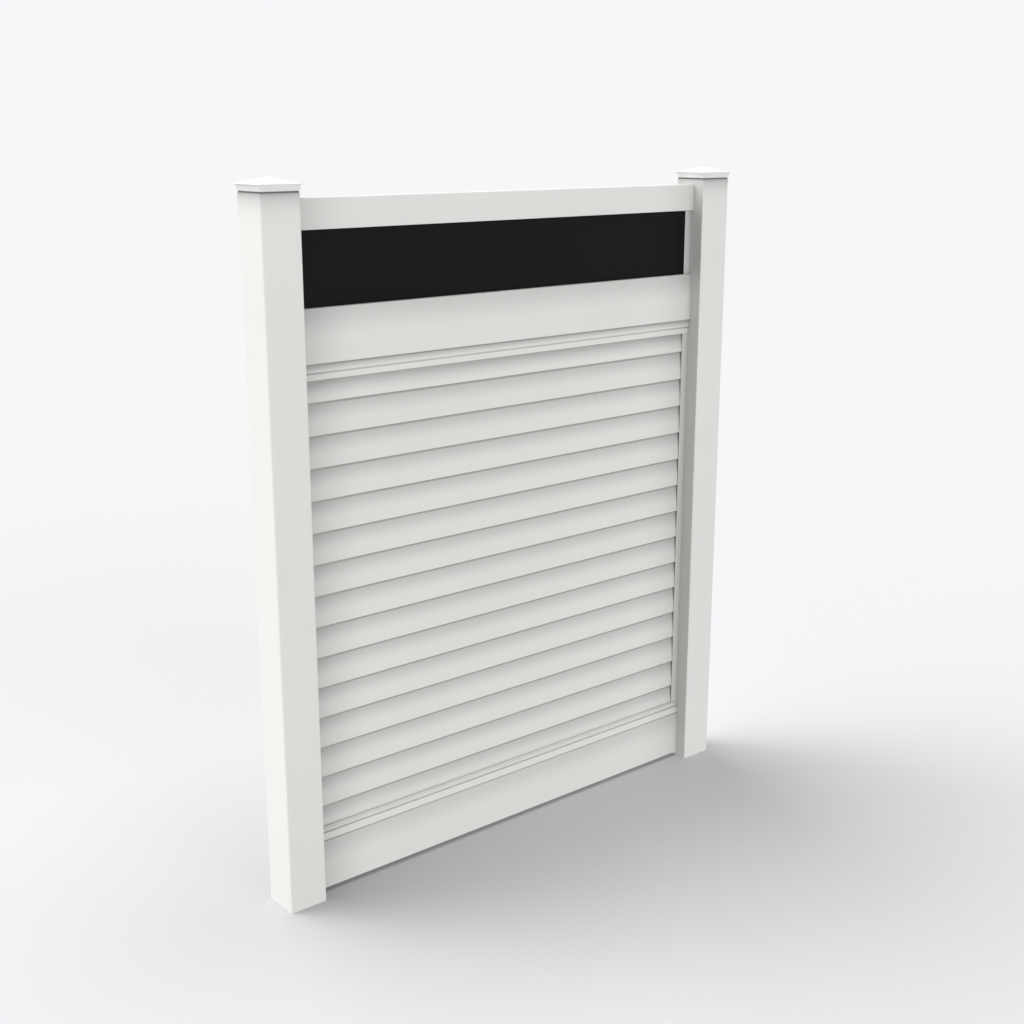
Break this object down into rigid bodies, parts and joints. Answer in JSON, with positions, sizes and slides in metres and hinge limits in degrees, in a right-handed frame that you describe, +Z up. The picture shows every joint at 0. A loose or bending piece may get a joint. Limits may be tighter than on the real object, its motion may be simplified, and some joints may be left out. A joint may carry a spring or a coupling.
{
  "type": "horizontal privacy fence panel",
  "caption": "Vinyl privacy fence bay: two capped square posts, moulded rails, stacked interlocking louvre slats and a black accent strip below the top rail.",
  "frame": {"origin": "on the ground, at the middle of the fence bay's length and thickness", "axes": "+Z up the posts, +X along the fence from the left post to the right post, +Y through the fence away from its front face"},
  "size_m": [1.8984, 0.142, 2.2164],
  "materials": {
    "white_vinyl": "satin white PVC extrusion",
    "cap_vinyl": "smooth moulded white PVC",
    "black_vinyl": "matt black PVC extrusion",
    "mill_aluminium": "mill finish extrusion",
    "screw_steel": "zinc plated"
  },
  "bodies": {
    "root": {"bottom_rail": "white_vinyl", "bottom_rail_stiffener": "mill_aluminium", "mid_rail": "white_vinyl", "top_rail": "white_vinyl", "accent_panel": "black_vinyl", "louvre_slat_01": "white_vinyl", "louvre_slat_02": "white_vinyl", "louvre_slat_03": "white_vinyl", "louvre_slat_04": "white_vinyl", "louvre_slat_05": "white_vinyl", "louvre_slat_06": "white_vinyl", "louvre_slat_07": "white_vinyl", "louvre_slat_08": "white_vinyl", "louvre_slat_09": "white_vinyl", "louvre_slat_10": "white_vinyl", "louvre_slat_11": "white_vinyl", "louvre_slat_12": "white_vinyl", "louvre_slat_13": "white_vinyl", "louvre_slat_14": "white_vinyl", "louvre_slat_15": "white_vinyl", "left_post": "white_vinyl", "left_lower_channel": "white_vinyl", "left_upper_channel": "white_vinyl", "left_post_cap": "cap_vinyl", "left_lower_channel_screw_1": "screw_steel", "left_lower_channel_screw_2": "screw_steel", "left_lower_channel_screw_3": "screw_steel", "left_lower_channel_screw_4": "screw_steel", "left_lower_channel_screw_5": "screw_steel", "left_upper_channel_screw_1": "screw_steel", "left_upper_channel_screw_2": "screw_steel", "right_post": "white_vinyl", "right_lower_channel": "white_vinyl", "right_upper_channel": "white_vinyl", "right_post_cap": "cap_vinyl", "right_lower_channel_screw_1": "screw_steel", "right_lower_channel_screw_2": "screw_steel", "right_lower_channel_screw_3": "screw_steel", "right_lower_channel_screw_4": "screw_steel", "right_lower_channel_screw_5": "screw_steel", "right_upper_channel_screw_1": "screw_steel", "right_upper_channel_screw_2": "screw_steel"}
  },
  "joints": []
}
